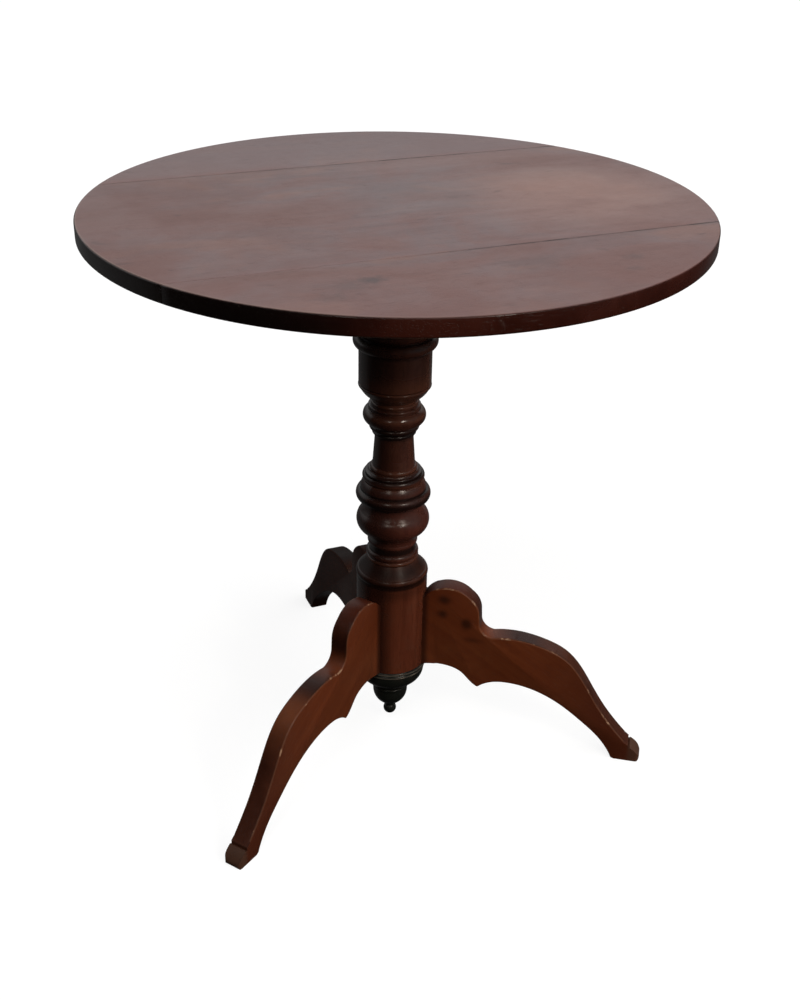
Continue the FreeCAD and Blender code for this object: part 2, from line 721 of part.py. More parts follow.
def top_boards():
    """Rear, middle and front boards; the outer boards have tongues in the middle one."""
    disc = round_top()
    outer = TOP_RADIUS + CUT_OVERRUN
    rear_edge = REAR_JOINT_Y + BOARD_GAP / 2
    front_edge = FRONT_JOINT_Y - BOARD_GAP / 2
    rear_room = top_strip(rear_edge, outer).fuse(tongue(rear_edge, -1, 0.0))
    front_room = top_strip(-outer, front_edge).fuse(tongue(front_edge, 1, 0.0))
    middle = disc.common(top_strip(front_edge + BOARD_GAP, rear_edge - BOARD_GAP))
    middle = middle.cut(tongue(rear_edge, -1, GLUE_GAP))
    middle = middle.cut(tongue(front_edge, 1, GLUE_GAP))
    boards = {
        "top_board_rear": disc.common(rear_room),
        "top_board_middle": middle,
        "top_board_front": disc.common(front_room),
    }
    holes = [bearer_screw_hole(head) for head in bearer_screw_places()]
    holes += [small_screw_hole(head, Z_AXIS) for head in catch_screw_places()]
    return {name: board.cut(holes) for name, board in boards.items()}


def bearer_screw_places():
    """Heads of the bearer screws, on the bearers' lower faces."""
    level = UNDERSIDE - BEARER_THICKNESS
    places = []
    for side in (-1, 1):
        for spacing in (BEARER_SCREW_OUTER_SPACING, BEARER_SCREW_INNER_SPACING):
            for end in (-1, 1):
                places.append(Vector(side * BEARER_CENTRE_X, end * spacing / 2, level))
    return places


def bearer_screw_hole(head):
    return screw_hole(head, Z_AXIS, BEARER_SCREW_RADIUS, BEARER_SCREW_HEAD_RADIUS, BEARER_SCREW_LENGTH)


def bearer(side):
    """Batten across the grain with swept ends, bored for its pin and screws."""
    half = BEARER_LENGTH / 2
    flat = half - BEARER_SWEEP_LENGTH
    bottom = UNDERSIDE - BEARER_THICKNESS
    tip = UNDERSIDE - BEARER_TIP_THICKNESS
    low_x = side * BEARER_CENTRE_X - BEARER_WIDTH / 2
    edges = [line(Vector(low_x, -half, UNDERSIDE), Vector(low_x, half, UNDERSIDE))]
    for end in (-1, 1):
        outer = Vector(low_x, end * half, tip)
        inner = Vector(low_x, end * flat, bottom)
        middle = (outer + inner) / 2 + Vector(0, 0, BEARER_SWEEP_HOLLOW)
        edges.append(line(Vector(low_x, end * half, UNDERSIDE), outer))
        edges.append(arc(outer, middle, inner))
    edges.append(line(Vector(low_x, -flat, bottom), Vector(low_x, flat, bottom)))
    body = solid_between(edges, X_AXIS * BEARER_WIDTH)
    body = body.cut(pivot_pin(side, PIN_CLEARANCE))
    for head in bearer_screw_places():
        body = body.cut(bearer_screw_hole(head))
    return body


# Tilt block and pins

def pivot_pin(side, gap):
    """Headed pin through a bearer into the block; the gap makes its hole."""
    inner_x = BLOCK_WIDTH / 2 - PIN_DEPTH_IN_BLOCK - gap
    head_x = BEARER_OUTER_X - PIN_HEAD_THICKNESS
    head_gap = SLIDE_CLEARANCE if gap > 0 else 0.0
    outward = X_AXIS * side
    shank = Part.makeCylinder(
        PIN_RADIUS + gap, head_x - inner_x, Vector(side * inner_x, PIVOT_Y, PIVOT_Z), outward
    )
    head = Part.makeCylinder(
        PIN_HEAD_RADIUS + head_gap,
        PIN_HEAD_THICKNESS + head_gap * 2,
        Vector(side * (head_x - head_gap), PIVOT_Y, PIVOT_Z),
        outward,
    )
    pin = shank.fuse(head).removeSplitter()
    if gap > 0:
        return pin
    slot_low = min(side * (BEARER_OUTER_X - PIN_SLOT_DEPTH), side * (BEARER_OUTER_X + CUT_OVERRUN))
    slot_size = PIN_SLOT_DEPTH + CUT_OVERRUN
    slot = box(
        Vector(slot_low, PIVOT_Y - PIN_HEAD_RADIUS, PIVOT_Z - PIN_SLOT_WIDTH / 2),
        Vector(slot_low + slot_size, PIVOT_Y + PIN_HEAD_RADIUS, PIVOT_Z + PIN_SLOT_WIDTH / 2),
    )
    return pin.cut(slot)


def tilt_block():
    """Block on the column's tenon, rounded about the pins where the top swings past."""
    rear = BLOCK_DEPTH / 2
    front = BLOCK_FRONT
    turn = PIVOT_DROP - TILT_CLEARANCE
    diagonal = turn / math.sqrt(2)
    low_x = -BLOCK_WIDTH / 2
    corner_top = Vector(low_x, PIVOT_Y, BLOCK_TOP)
    corner_middle = Vector(low_x, PIVOT_Y + diagonal, PIVOT_Z + diagonal)
    corner_rear = Vector(low_x, rear, PIVOT_Z)
    rear_low = Vector(low_x, rear, BLOCK_BOTTOM + BLOCK_CHAMFER)
    rear_under = Vector(low_x, rear - BLOCK_CHAMFER, BLOCK_BOTTOM)
    front_under = Vector(low_x, front + BLOCK_CHAMFER, BLOCK_BOTTOM)
    front_low = Vector(low_x, front, BLOCK_BOTTOM + BLOCK_CHAMFER)
    front_top = Vector(low_x, front, BLOCK_TOP)
    edges = [
        line(front_top, corner_top),
        arc(corner_top, corner_middle, corner_rear),
        line(corner_rear, rear_low),
        line(rear_low, rear_under),
        line(rear_under, front_under),
        line(front_under, front_low),
        line(front_low, front_top),
    ]
    body = solid_between(edges, X_AXIS * BLOCK_WIDTH)
    mortise = Part.makeCylinder(
        TENON_RADIUS + GLUE_GAP, BLOCK_HEIGHT + CUT_OVERRUN * 2, Vector(0, 0, BLOCK_BOTTOM - CUT_OVERRUN)
    )
    body = body.cut(mortise)
    for side in (-1, 1):
        body = body.cut(pivot_pin(side, PIN_CLEARANCE))
    body = body.cut(keeper_blank(GLUE_GAP))
    body = body.cut(bolt_room(MORTISE_EXTRA))
    for head in keeper_screw_places():
        body = body.cut(small_screw_hole(head, Y_AXIS))
    return body


# Catch

def keeper_blank(gap):
    """Plate let into the front of the block; the gap makes its recess."""
    half_width = KEEPER_WIDTH / 2 + gap
    middle = (BOLT_TOP + BOLT_BOTTOM) / 2
    top = min(middle + KEEPER_HEIGHT / 2, BLOCK_TOP - KEEPER_DROP)
    return box(
        Vector(-half_width, BLOCK_FRONT, top - KEEPER_HEIGHT - gap),
        Vector(half_width, BLOCK_FRONT + KEEPER_THICKNESS + gap, top + gap),
    )


def bolt_room(extra):
    """Slot in front of the bolt's nose, as deep as its throw and a little more."""
    half_width = BOLT_WIDTH / 2 + SLIDE_CLEARANCE
    depth = BOLT_THROW - BOLT_SETBACK + extra
    return box(
        Vector(-half_width, BLOCK_FRONT - CUT_OVERRUN, BOLT_BOTTOM - SLIDE_CLEARANCE),
        Vector(half_width, BLOCK_FRONT + depth, BOLT_TOP + SLIDE_CLEARANCE),
    )


def catch_keeper():
    body = keeper_blank(0.0).cut(bolt_room(MORTISE_EXTRA))
    for head in keeper_screw_places():
        body = body.cut(small_screw_hole(head, Y_AXIS))
    return body


def keeper_screw_places():
    middle = (keeper_blank(0.0).BoundBox.ZMin + keeper_blank(0.0).BoundBox.ZMax) / 2
    reach = KEEPER_WIDTH / 2 - SMALL_SCREW_EDGE
    return [Vector(side * reach, BLOCK_FRONT, middle) for side in (-1, 1)]


def catch_screw_places():
    reach = CATCH_WIDTH / 2 - SMALL_SCREW_EDGE
    front = CATCH_FRONT - SMALL_SCREW_EDGE
    rear = CATCH_FRONT - CATCH_LENGTH + SMALL_SCREW_EDGE
    return [Vector(side * reach, y, CATCH_FACE) for side in (-1, 1) for y in (front, rear)]


def small_screw(head, direction):
    return screw(head, direction, SMALL_SCREW_RADIUS, SMALL_SCREW_HEAD_RADIUS, SMALL_SCREW_LENGTH)


def small_screw_hole(head, direction):
    return screw_hole(head, direction, SMALL_SCREW_RADIUS, SMALL_SCREW_HEAD_RADIUS, SMALL_SCREW_LENGTH)


def catch_plate():
    """Plate with two bridges that guide the bolt along Y."""
    rear = CATCH_FRONT - CATCH_LENGTH
    half = CATCH_WIDTH / 2
    plate = box(Vector(-half, rear, CATCH_FACE), Vector(half, CATCH_FRONT, UNDERSIDE))
    plate = plate.makeFillet(CATCH_CORNER, upright_edges(plate))
    half_room = BOLT_WIDTH / 2 + SLIDE_CLEARANCE
    half_bridge = half_room + BRIDGE_WALL
    room_bottom = BOLT_BOTTOM - SLIDE_CLEARANCE
    front_end = CATCH_FRONT - BRIDGE_INSET
    for end_y in (front_end, front_end - BRIDGE_SPACING):
        bridge = box(
            Vector(-half_bridge, end_y - BRIDGE_LENGTH, room_bottom - BRIDGE_FLOOR),
            Vector(half_bridge, end_y, CATCH_FACE),
        )
        room = box(
            Vector(-half_room, end_y - BRIDGE_LENGTH - CUT_OVERRUN, room_bottom),
            Vector(half_room, end_y + CUT_OVERRUN, CATCH_FACE),
        )
        plate = plate.fuse(bridge.cut(room))
    for head in catch_screw_places():
        plate = plate.cut(small_screw_hole(head, Z_AXIS))
    return plate.removeSplitter()


def catch_bolt():
    """Flat bar with a rounded nose and a hole for the knob's spigot."""
    half = BOLT_WIDTH / 2
    body = box(Vector(-half, BOLT_NOSE - BOLT_LENGTH, BOLT_BOTTOM), Vector(half, BOLT_NOSE, BOLT_TOP))
    nose = [edge for edge in upright_edges(body) if edge.CenterOfMass.y > KNOB_Y]
    body = body.makeFillet(BOLT_NOSE_ROUND, nose)
    hole = Part.makeCylinder(
        KNOB_SPIGOT_RADIUS + GLUE_GAP, KNOB_SPIGOT_LENGTH + GLUE_GAP, Vector(0, KNOB_Y, BOLT_BOTTOM)
    )
    return body.cut(hole)


def catch_knob():
    """Turned pull that hangs from the bolt."""
    ball_rise = math.sqrt(KNOB_RADIUS ** 2 - KNOB_NECK_RADIUS ** 2)
    turning = Turning(BOLT_BOTTOM - KNOB_NECK_LENGTH - ball_rise - KNOB_RADIUS)
    ball_middle = turning.at.z + KNOB_RADIUS
    ball_top = Vector(KNOB_NECK_RADIUS, 0, ball_middle + ball_rise)
    turning.edges.append(arc(turning.at, Vector(KNOB_RADIUS, 0, ball_middle), ball_top))
    turning.at = ball_top
    turning.line(KNOB_NECK_RADIUS, KNOB_NECK_LENGTH)
    turning.line(KNOB_SPIGOT_RADIUS)
    turning.line(KNOB_SPIGOT_RADIUS, KNOB_SPIGOT_LENGTH)
    body = turning.solid()
    body.translate(Y_AXIS * KNOB_Y)
    return body


def bearer_screws():
    return Part.makeCompound([
        screw(head, Z_AXIS, BEARER_SCREW_RADIUS, BEARER_SCREW_HEAD_RADIUS, BEARER_SCREW_LENGTH)
        for head in bearer_screw_places()
    ])


def pieces():
    """Every piece of the table by the name of its node."""
    table = dict(top_boards())
    table["bearer_left"] = bearer(-1)
    table["bearer_right"] = bearer(1)
    table["bearer_screws"] = bearer_screws()
    table["catch_plate"] = catch_plate()
    table["catch_screws"] = Part.makeCompound([small_screw(head, Z_AXIS) for head in catch_screw_places()])
    table["catch_bolt"] = catch_bolt()
    table["catch_knob"] = catch_knob()
    table["catch_keeper"] = catch_keeper()
    table["keeper_screws"] = Part.makeCompound([small_screw(head, Y_AXIS) for head in keeper_screw_places()])
    table["tilt_block"] = tilt_block()
    table["pivot_pins"] = Part.makeCompound([pivot_pin(side, 0.0) for side in (-1, 1)])
    table["tenon_wedge"] = tenon_wedge()
    table["column"] = column()
    table["pendant"] = pendant()
    blank = leg()
    for name, azimuth in LEG_AZIMUTHS.items():
        table[name] = turned_to(blank, azimuth)
    return table


os.makedirs("parts", exist_ok=True)
for node, shape in pieces().items():
    shape.exportStep("parts/" + node + ".step")
    print(node, "solids", len(shape.Solids), "valid", shape.isValid(), "volume", round(shape.Volume))
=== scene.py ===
import json
import math

import bpy
from mathutils import Euler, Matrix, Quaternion, Vector

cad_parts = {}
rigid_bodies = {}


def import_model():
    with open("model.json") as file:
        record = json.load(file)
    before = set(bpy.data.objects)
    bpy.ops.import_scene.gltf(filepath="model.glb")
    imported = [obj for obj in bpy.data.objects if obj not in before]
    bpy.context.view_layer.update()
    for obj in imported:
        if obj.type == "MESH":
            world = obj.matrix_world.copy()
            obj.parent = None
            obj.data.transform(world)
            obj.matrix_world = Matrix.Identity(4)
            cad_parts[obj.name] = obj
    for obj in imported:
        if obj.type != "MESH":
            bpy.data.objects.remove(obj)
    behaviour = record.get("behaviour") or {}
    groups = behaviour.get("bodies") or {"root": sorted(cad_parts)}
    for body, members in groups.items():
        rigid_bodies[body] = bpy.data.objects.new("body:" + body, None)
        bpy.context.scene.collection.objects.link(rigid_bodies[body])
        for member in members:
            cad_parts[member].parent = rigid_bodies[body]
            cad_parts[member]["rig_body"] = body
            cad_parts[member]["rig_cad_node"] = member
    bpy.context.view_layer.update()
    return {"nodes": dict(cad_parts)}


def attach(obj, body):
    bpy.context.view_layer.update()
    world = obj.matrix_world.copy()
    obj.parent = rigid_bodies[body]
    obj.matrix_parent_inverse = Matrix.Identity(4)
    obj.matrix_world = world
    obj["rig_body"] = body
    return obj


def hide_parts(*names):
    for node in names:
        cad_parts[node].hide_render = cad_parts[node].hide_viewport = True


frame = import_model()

# Sizes of the table that the finishes follow, in metres and degrees.
REAR_JOINT_Y, FRONT_JOINT_Y = 0.186, -0.171
JOINT_REACH = 0.0004
JOINT_DIRT = 0.0034
TOP_RADIUS = 0.350
TOP_UNDERSIDE = 0.692
CAP_SHOULDER, CAP_TOP = 0.2545, 0.262
LEG_SLOPE = 33
LEG_HOLLOW, LEG_KNEE, LEG_BEND_REACH = 0.125, 0.220, 0.045
LEG_SEAM, LEG_SEAM_END = 0.046, 0.054
TOE_SCUFF, TOE_SCUFF_FULL = 0.324, 0.331

# How far the edges are rounded over, and which edges are.
RIM_ARRIS, BEARER_ARRIS, BLOCK_ARRIS, LEG_ARRIS = 0.0005, 0.0012, 0.0015, 0.0016
ARRIS_STEPS = 3
SHARP, FLAT = math.radians(32), math.radians(0.2)
SAME_CORNER = 0.00001
RIM_BAND = 0.004
LEG_EASED_FROM, LEG_EASED_TO = 0.060, 0.318
LONG_EDGE = 0.020
JOINT_CLOSED_SHARE = 0.8

# Marks on the top: bleached by the sun, a pale band, a grey smear, and knocks as x, y, reach and depth.
SUN_PATCH = (0.22, -0.02, 0.71)
PALE_BAND_Y, PALE_BAND_REACH = 0.165, 0.055
GREY_SMEAR = (0.03, 0.03, 0.71)
KNOCKS = (
    (-0.119, -0.224, 0.013, 0.95), (-0.140, -0.232, 0.026, 0.42), (-0.168, -0.258, 0.015, 0.38),
    (0.050, -0.228, 0.034, 0.32), (0.154, -0.246, 0.012, 0.50), (0.136, -0.276, 0.010, 0.35),
)

# Marks on the column by height: colours; hollows with reach and depth of dirt and painted shade; crests
# with reach, painted lighter as highlights.
# The side in painted shade is a direction, and the drop's two crests have a height and a reach.
COLUMN_TINTS = (
    (0.109, (0.078, 0.0185, 0.0080)), (0.236, (0.078, 0.0185, 0.0080)), (0.250, (0.044, 0.0130, 0.0068)),
    (0.310, (0.058, 0.0145, 0.0088)), (0.400, (0.047, 0.0135, 0.0075)), (0.458, (0.038, 0.0110, 0.0062)),
    (0.490, (0.052, 0.0160, 0.0090)), (0.645, (0.052, 0.0150, 0.0082)), (0.648, (0.180, 0.105, 0.058)),
)
GRIMY_SHADED_HOLLOWS = (
    (0.2300, 0.0180, 0.40), (0.2390, 0.0090, 1.15), (0.2540, 0.0150, 0.62), (0.2800, 0.0080, 1.10),
    (0.3455, 0.0070, 0.70), (0.3525, 0.0080, 1.00), (0.3612, 0.0040, 0.90), (0.3830, 0.0065, 0.90),
    (0.4400, 0.0130, 1.10), (0.4487, 0.0040, 0.70), (0.5450, 0.0040, 0.50), (0.5615, 0.0055, 0.75),
)
HIGHLIT_CRESTS = (
    (0.2640, 0.0045), (0.3745, 0.0050), (0.3900, 0.0050), (0.4630, 0.0050), (0.4780, 0.0045),
    (0.4870, 0.0120), (0.5050, 0.0200),
)
# Painted shade darkens the column on the side this direction points to.
SHADED_SIDE_DIRECTION = (-0.925, 0.380, 0.0)
DRUM_SHINE, SHAFT_SHINE = 0.26, 0.48
DROP_CRESTS = ((0.1062, 0.0017), (0.1007, 0.0015))

# The legs. The right one has knots below its ear, as distance out, height, size and stretch.
KNOTS = (
    (0.0713, 0.2120, 0.0030, 1.3), (0.0694, 0.1905, 0.0022, 1.0), (0.1008, 0.1800, 0.0028, 0.9),
    (0.1100, 0.1560, -0.0016, 3.0),
)
# Each leg's knee share sets how much painted highlight its knee gets.
LEGS = {
    "leg_rear": {"turn": 89.5, "tone": 0.33, "gloss": 0.04, "knee": 0.0},
    "leg_left": {"turn": 214.7, "tone": 0.80, "gloss": 0.24, "knee": 0.55},
    "leg_right": {"turn": 325.8, "tone": 1.05, "gloss": 0.26, "knee": 0.10, "knots": KNOTS},
}
# How much pale wear and painted highlight each leg's arris carries.
ARRIS_WEAR_AND_GLINT = {"leg_rear": 0.12, "leg_left": 0.8, "leg_right": 1.0}

# The studio: where soft light comes from, with strength and focus, the lamps' aim and the camera.
SOFT_LIGHT = (
    ((0.690, -0.524, 0.500), 4.1, 7.0),
    ((-0.336, -0.370, 0.866), 7.4, 30.0),
    ((0.300, 0.933, 0.200), 1.4, 4.0),
)
SHADOW_LIGHT = 0.03
FLOOR_SIZE, FLOOR_GLOW = 60, 0.84
LAMP_COLOUR = (1.0, 0.90, 0.78)
LAMP_AIM = (0, 0, 0.4)
CAMERA_PLACE = (-0.5472, -1.3307, 1.1227)
CAMERA_PITCH, CAMERA_HEADING, CAMERA_ROLL = 28.516, 22.695, 1.086
CAMERA_LENS, CAMERA_SENSOR = 47.59, 36


class Wash:
    """The nodes of one finish, added one after another."""

    def __init__(self, tree):
        self.tree = tree

    def feed(self, socket, value):
        if isinstance(value, bpy.types.NodeSocket):
            self.tree.links.new(value, socket)
        elif socket.type == "RGBA":
            socket.default_value = (*value, 1)
        else:
            socket.default_value = value

    def add(self, kind, feeds=(), **settings):
        node = self.tree.nodes.new(kind if kind.startswith("Node") else "ShaderNode" + kind)
        for name, value in settings.items():
            setattr(node, name, value)
        for socket, value in dict(feeds).items():
            self.feed(node.inputs[socket], value)
        return node

    def sums(self, operation, *values):
        return self.add("Math", enumerate(values), operation=operation).outputs[0]

    def times(self, first, second):
        return self.sums("MULTIPLY", first, second)

    def step(self, value, low, high, start=0.0, end=1.0):
        """Goes smoothly from start to end while the value goes from low to high."""
        feeds = {0: value, 1: low, 2: high, 3: start, 4: end}
        return self.add("MapRange", feeds, interpolation_type="SMOOTHSTEP").outputs[0]

    def near(self, value, middle, reach):
        """1 where the value is at the middle, falling to 0 at the reach."""
        return self.step(self.sums("ABSOLUTE", self.sums("SUBTRACT", value, middle)), reach, 0.0)

    def noise(self, vector, scale, detail=2.0, roughness=0.5, distortion=0.0):
        feeds = {"Vector": vector, "Scale": scale, "Detail": detail, "Roughness": roughness,
                 "Distortion": distortion}
        return self.add("TexNoise", feeds).outputs[0]

    def place(self, vector, shift=(0, 0, 0), turn=(0, 0, 0), size=(1, 1, 1)):
        angles = [math.radians(angle) for angle in turn]
        feeds = {"Vector": vector, "Location": shift, "Rotation": angles, "Scale": size}
        return self.add("Mapping", feeds).outputs[0]

    def measure(self, operation, *vectors):
        """A length, distance or share of one direction, from vectors."""
        return self.add("VectorMath", enumerate(vectors), operation=operation).outputs["Value"]

    def gap(self, first, second, middle, stretch):
        """How far two coordinates are from the middle of a spot, which is stretched along the first."""
        beside = self.sums("DIVIDE", self.sums("SUBTRACT", first, middle[0]), stretch)
        beyond = self.sums("SUBTRACT", second, middle[1])
        return self.measure("LENGTH", self.add("CombineXYZ", {0: beside, 1: beyond}).outputs[0])

    def mix(self, share, first, second, how="MIX"):
        feeds = {0: share, 6: first, 7: second}
        return self.add("Mix", feeds, data_type="RGBA", blend_type=how).outputs[2]

    def ramp(self, value, *stops):
        node = self.add("ValToRGB", {0: value})
        elements = node.color_ramp.elements
        while len(elements) < len(stops):
            elements.new(1)
        for element, (position, colour) in zip(elements, stops):
            element.position = position
            element.color = (*colour, 1)
        return node.outputs[0]

    def split(self, vector):
        return self.add("SeparateXYZ", {0: vector}).outputs

    def bump(self, height, depth):
        return self.add("Bump", {"Height": height, "Distance": depth, "Strength": 1.0}).outputs[0]

    def shared(self, group, vector):
        return self.add("Group", {0: vector}, node_tree=group).outputs


def shared_effect(name, outputs):
    """An empty node group that takes a place and gives the named masks."""
    group = bpy.data.node_groups.new(name, "ShaderNodeTree")
    group.interface.new_socket("Place", in_out="INPUT", socket_type="NodeSocketVector")
    for output in outputs:
        group.interface.new_socket(output, in_out="OUTPUT", socket_type="NodeSocketFloat")
    wash = Wash(group)
    return group, wash, wash.add("NodeGroupInput").outputs[0]


def make_grain():
    """Mahogany grain that runs along X: broad streaks, short pores and a slow figure."""
    group, wash, place = shared_effect("mahogany_grain", ("Streaks", "Pores", "Figure"))
    streaks = wash.noise(wash.place(place, size=(5, 80, 80)), 1.0, 6.0, 0.65, 0.3)
    pores = wash.noise(wash.place(place, size=(60, 1000, 1000)), 1.0, 1.0)
    swell = wash.noise(wash.place(place, size=(1.5, 14, 14)), 1.0, 3.0, 0.5, 0.8)
    figure = wash.sums("PINGPONG", wash.times(swell, 9.0), 1.0)
    wash.add("NodeGroupOutput", {0: streaks, 1: wash.step(pores, 0.6, 0.72), 2: figure})
    return group


def make_wear():
    """Age on a polished surface: soft clouds, rubbed patches and specks."""
    group, wash, place = shared_effect("age", ("Clouds", "Rubbing", "Specks"))
    clouds = wash.noise(place, 9.0, 4.0, 0.6)
    rubbing = wash.step(wash.noise(place, 46.0, 5.0, 0.7, 0.4), 0.48, 0.68)
    specks = wash.step(wash.noise(place, 420.0, 1.0), 0.68, 0.77)
    wash.add("NodeGroupOutput", {0: clouds, 1: rubbing, 2: specks})
    return group


GRAIN, WEAR = make_grain(), make_wear()


def new_finish(name):
    material = bpy.data.materials.new(name)
    material.use_nodes = True
    wash = Wash(material.node_tree)
    return material, wash, material.node_tree.nodes["Principled BSDF"]


def faded_polish_and_sheen(wash, place, shift, grain, clouds):
    """The top's polish, gone grey and red in clouds, palest where the sun lay on it, with a painted sheen:
    lighter and greyer toward the rear, browner toward the left and front.
    """
    x, y, _ = wash.split(place)
    drift = wash.noise(wash.place(place, shift=shift, size=(0.7, 1.2, 1)), 7.0, 5.0, 0.62, 0.5)
    face = wash.ramp(drift, (0.34, (0.143, 0.070, 0.061)), (0.45, (0.160, 0.090, 0.085)),
                     (0.54, (0.148, 0.102, 0.104)), (0.64, (0.190, 0.108, 0.094)))
    light = wash.ramp(grain["Streaks"], (0.3, (0.84, 0.81, 0.81)), (0.5, (0.97, 0.95, 0.95)),
                      (0.7, (1.07, 1.06, 1.06)))
    face = wash.mix(1.0, face, light, "MULTIPLY")
    face = wash.mix(wash.times(grain["Figure"], 0.10), face, (0.130, 0.068, 0.062))
    sunned = wash.times(wash.step(wash.measure("DISTANCE", place, SUN_PATCH), 0.20, 0.03),
                        wash.step(drift, 0.32, 0.60, 0.35, 0.95))
    pale = wash.times(wash.near(y, PALE_BAND_Y, PALE_BAND_REACH), wash.step(x, -0.08, 0.12, 0.0, 0.45))
    smeared = wash.times(wash.step(wash.measure("DISTANCE", place, GREY_SMEAR), 0.11, 0.02),
                         wash.step(clouds, 0.35, 0.7, 0.2, 0.8))
    # Painted sheen: the rear painted lighter and greyer, the left and front browner, following the
    # reflection on the polish.
    left = wash.times(wash.step(x, 0.02, -0.30), wash.step(clouds, 0.3, 0.7, 0.25, 0.75))
    front = wash.times(wash.step(y, -0.10, -0.32), wash.step(clouds, 0.3, 0.7, 0.3, 0.75))
    rear = wash.times(wash.step(y, REAR_JOINT_Y - 0.01, REAR_JOINT_Y + 0.03),
                      wash.step(clouds, 0.3, 0.7, 0.4, 0.8))
    for share, tint in ((sunned, (0.248, 0.136, 0.113)), (pale, (0.225, 0.142, 0.132)),
                        (smeared, (0.138, 0.108, 0.112)), (left, (0.138, 0.064, 0.055)),
                        (front, (0.146, 0.066, 0.057)), (rear, (0.168, 0.117, 0.119))):
        face = wash.mix(share, face, tint)
    return face


def dirty_joints(wash, place, face):
    """Dirt in the two joints between the boards, fainter on the left."""
    x, y, _ = wash.split(place)
    broken = wash.step(wash.noise(wash.place(place, size=(30, 1, 1)), 1.0, 3.0), 0.40, 0.62, 0.45, 1.0)
    rear = wash.times(wash.near(y, REAR_JOINT_Y, JOINT_DIRT), wash.step(x, -0.30, 0.12, 0.35, 1.0))
    front = wash.times(wash.near(y, FRONT_JOINT_Y, JOINT_DIRT), wash.step(x, -0.10, 0.06, 0.0, 1.0))
    lines = wash.times(wash.sums("MAXIMUM", rear, front), broken)
    return wash.mix(wash.times(lines, 0.9), face, (0.026, 0.014, 0.012))


def knocked(wash, place, face, knocks):
    """Ragged dark smudges where things were set down hard."""
    x, y, _ = wash.split(place)
    ragged = wash.sums("SUBTRACT", wash.noise(place, 90.0, 4.0, 0.65, 0.5), 0.5)
    for knock_x, knock_y, reach, depth in knocks:
        gap = wash.sums("MULTIPLY_ADD", ragged, 1.6 * reach, wash.gap(x, y, (knock_x, knock_y), 1.7))
        face = wash.mix(wash.step(gap, reach, 0.0, 0.0, depth), face, (0.066, 0.042, 0.042))
    return face


def rim_polish_and_shade(wash, place, clouds):
    """Dark red polish round the rim, with painted shade making it nearly black on the left."""
    x, y, _ = wash.split(place)
    wood = wash.ramp(clouds, (0.38, (0.017, 0.0030, 0.0015)), (0.60, (0.035, 0.0060, 0.0026)))
    # Painted shade: the rim's left, away from the light, darkened to nearly black.
    shade = wash.times(wash.step(x, -0.10, -0.24, 0.0, 0.95), wash.step(y, 0.20, 0.05))
    wood = wash.mix(shade, wood, (0.0026, 0.0012, 0.0009))
    return wash.mix(wash.step(x, 0.12, 0.30, 0.0, 0.40), wood, (0.016, 0.0035, 0.0020))


def top_wood(name, shift, knocks=()):
    """Mahogany of one board: faded face, dark rim and bare underside."""
    material, wash, shader = new_finish(name)
    place = wash.add("TexCoord").outputs["Object"]
    x, _, z = wash.split(place)
    grain = wash.shared(GRAIN, wash.place(place, shift=shift))
    age = wash.shared(WEAR, place)
    face = faded_polish_and_sheen(wash, place, shift, grain, age["Clouds"])
    face = dirty_joints(wash, place, face)
    if knocks:
        face = knocked(wash, place, face, knocks)
    dents = wash.noise(wash.place(place, size=(26, 60, 1)), 1.0, 2.0, 0.5, 0.6)
    face = wash.mix(wash.step(dents, 0.68, 0.76, 0.0, 0.45), face, (0.066, 0.040, 0.040))
    face = wash.mix(wash.times(grain["Pores"], 0.16), face, (0.070, 0.040, 0.038))
    face = wash.mix(wash.times(age["Specks"], 0.30), face, (0.060, 0.036, 0.034))
    flat = wash.add("VectorMath", {0: place, 1: (1, 1, 0)}, operation="MULTIPLY").outputs[0]
    out = wash.measure("LENGTH", flat)
    # Pale line on the rim's top arris at the left: wear and a painted highlight.
    wear_and_glint = wash.times(wash.near(out, TOP_RADIUS - 0.0018, 0.0014), wash.step(x, 0.05, -0.25, 0.0, 0.6))
    face = wash.mix(wear_and_glint, face, (0.210, 0.150, 0.130))
    rim = wash.step(out, TOP_RADIUS - 0.0016, TOP_RADIUS - 0.0004)
    colour = wash.mix(rim, face, rim_polish_and_shade(wash, place, age["Clouds"]))
    bare = wash.ramp(grain["Streaks"], (0.3, (0.115, 0.058, 0.030)), (0.7, (0.235, 0.135, 0.075)))
    below = wash.step(z, TOP_UNDERSIDE + 0.0012, TOP_UNDERSIDE + 0.0002)
    colour = wash.mix(below, colour, bare)
    wash.feed(shader.inputs["Base Color"], colour)
    sheen = wash.step(age["Clouds"], 0.3, 0.7, 0.34, 0.46)
    sheen = wash.sums("SUBTRACT", sheen, wash.times(rim, 0.14))
    wash.feed(shader.inputs["Roughness"], wash.sums("MAXIMUM", sheen, wash.times(below, 0.75)))
    sunk = wash.sums("ADD", grain["Pores"], dents)
    uneven = wash.sums("SUBTRACT", wash.times(grain["Streaks"], 0.4), sunk)
    wash.feed(shader.inputs["Normal"], wash.bump(uneven, 0.00012))
    return material


